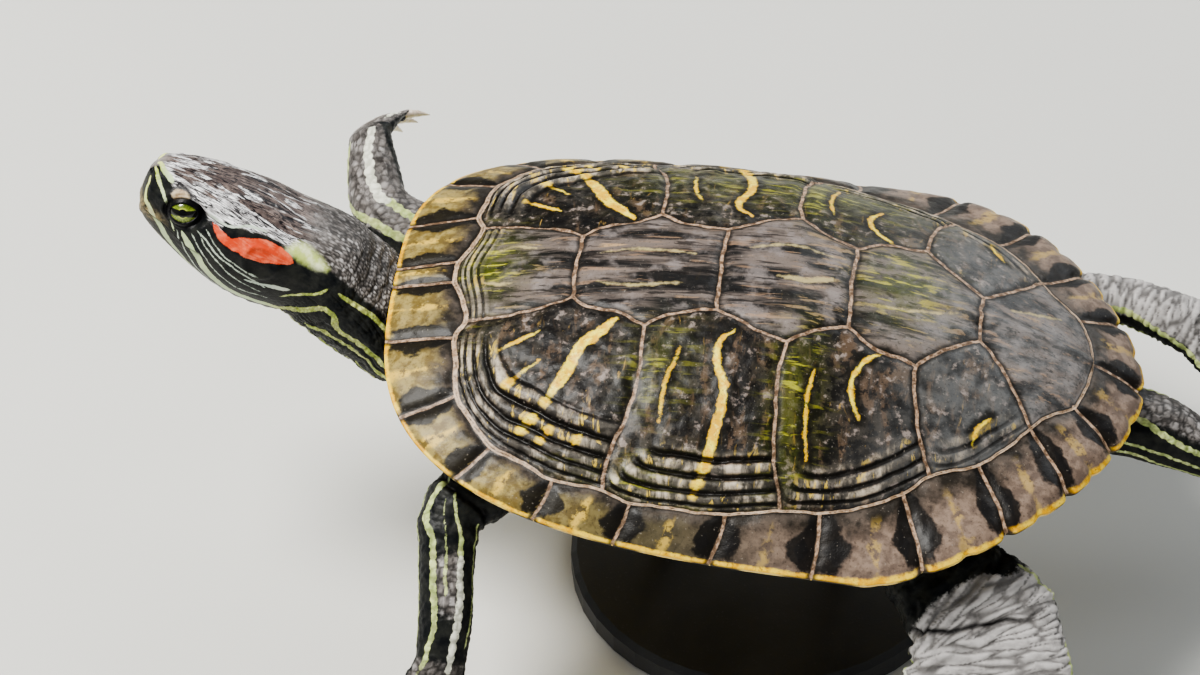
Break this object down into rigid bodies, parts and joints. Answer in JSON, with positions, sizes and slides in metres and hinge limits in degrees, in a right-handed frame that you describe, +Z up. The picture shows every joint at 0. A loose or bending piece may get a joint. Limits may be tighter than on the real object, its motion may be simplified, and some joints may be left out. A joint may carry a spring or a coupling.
{
  "type": "red-eared slider turtle model",
  "caption": "Life-size still model of a swimming red-eared slider turtle, head raised and legs spread, held over a flat round base by short rods.",
  "frame": {"origin": "centre of the underside of the stand's base, on the floor", "axes": "+X towards the tail, -X towards the head, -Y the animal's left side, +Z up"},
  "size_m": [0.3206, 0.1937, 0.1295],
  "materials": {
    "shell": "wet glossy horn, dark olive brown with yellow bars and pinkish-tan seams",
    "plastron_horn": "smooth horn, yellow with dark blotches",
    "skin": "damp fine-scaled skin, black-green with yellow stripes and a red ear patch",
    "claw_horn": "semi-gloss horn",
    "eye": "clear wet gloss",
    "stand_paint": "satin paint"
  },
  "bodies": {
    "root": {"carapace": "shell", "plastron": "plastron_horn", "trunk": "skin", "neck": "skin", "head": "skin", "lower_jaw": "skin", "foreleg_left_upper": "skin", "foreleg_left_lower": "skin", "forefoot_left": "skin", "foreleg_right_upper": "skin", "foreleg_right_lower": "skin", "forefoot_right": "skin", "hindleg_left_upper": "skin", "hindleg_left_lower": "skin", "hindfoot_left": "skin", "hindleg_right_upper": "skin", "hindleg_right_lower": "skin", "hindfoot_right": "skin", "tail": "skin", "eye_left": "eye", "eye_right": "eye", "claw_fore_left_1": "claw_horn", "claw_fore_left_2": "claw_horn", "claw_fore_left_3": "claw_horn", "claw_fore_left_4": "claw_horn", "claw_fore_left_5": "claw_horn", "claw_fore_right_1": "claw_horn", "claw_fore_right_2": "claw_horn", "claw_fore_right_3": "claw_horn", "claw_fore_right_4": "claw_horn", "claw_fore_right_5": "claw_horn", "claw_hind_left_2": "claw_horn", "claw_hind_left_3": "claw_horn", "claw_hind_left_4": "claw_horn", "claw_hind_left_5": "claw_horn", "claw_hind_right_1": "claw_horn", "claw_hind_right_2": "claw_horn", "claw_hind_right_3": "claw_horn", "claw_hind_right_4": "claw_horn", "stand_base": "stand_paint", "stand_rod_front": "stand_paint", "stand_rod_rear": "stand_paint"}
  },
  "joints": []
}
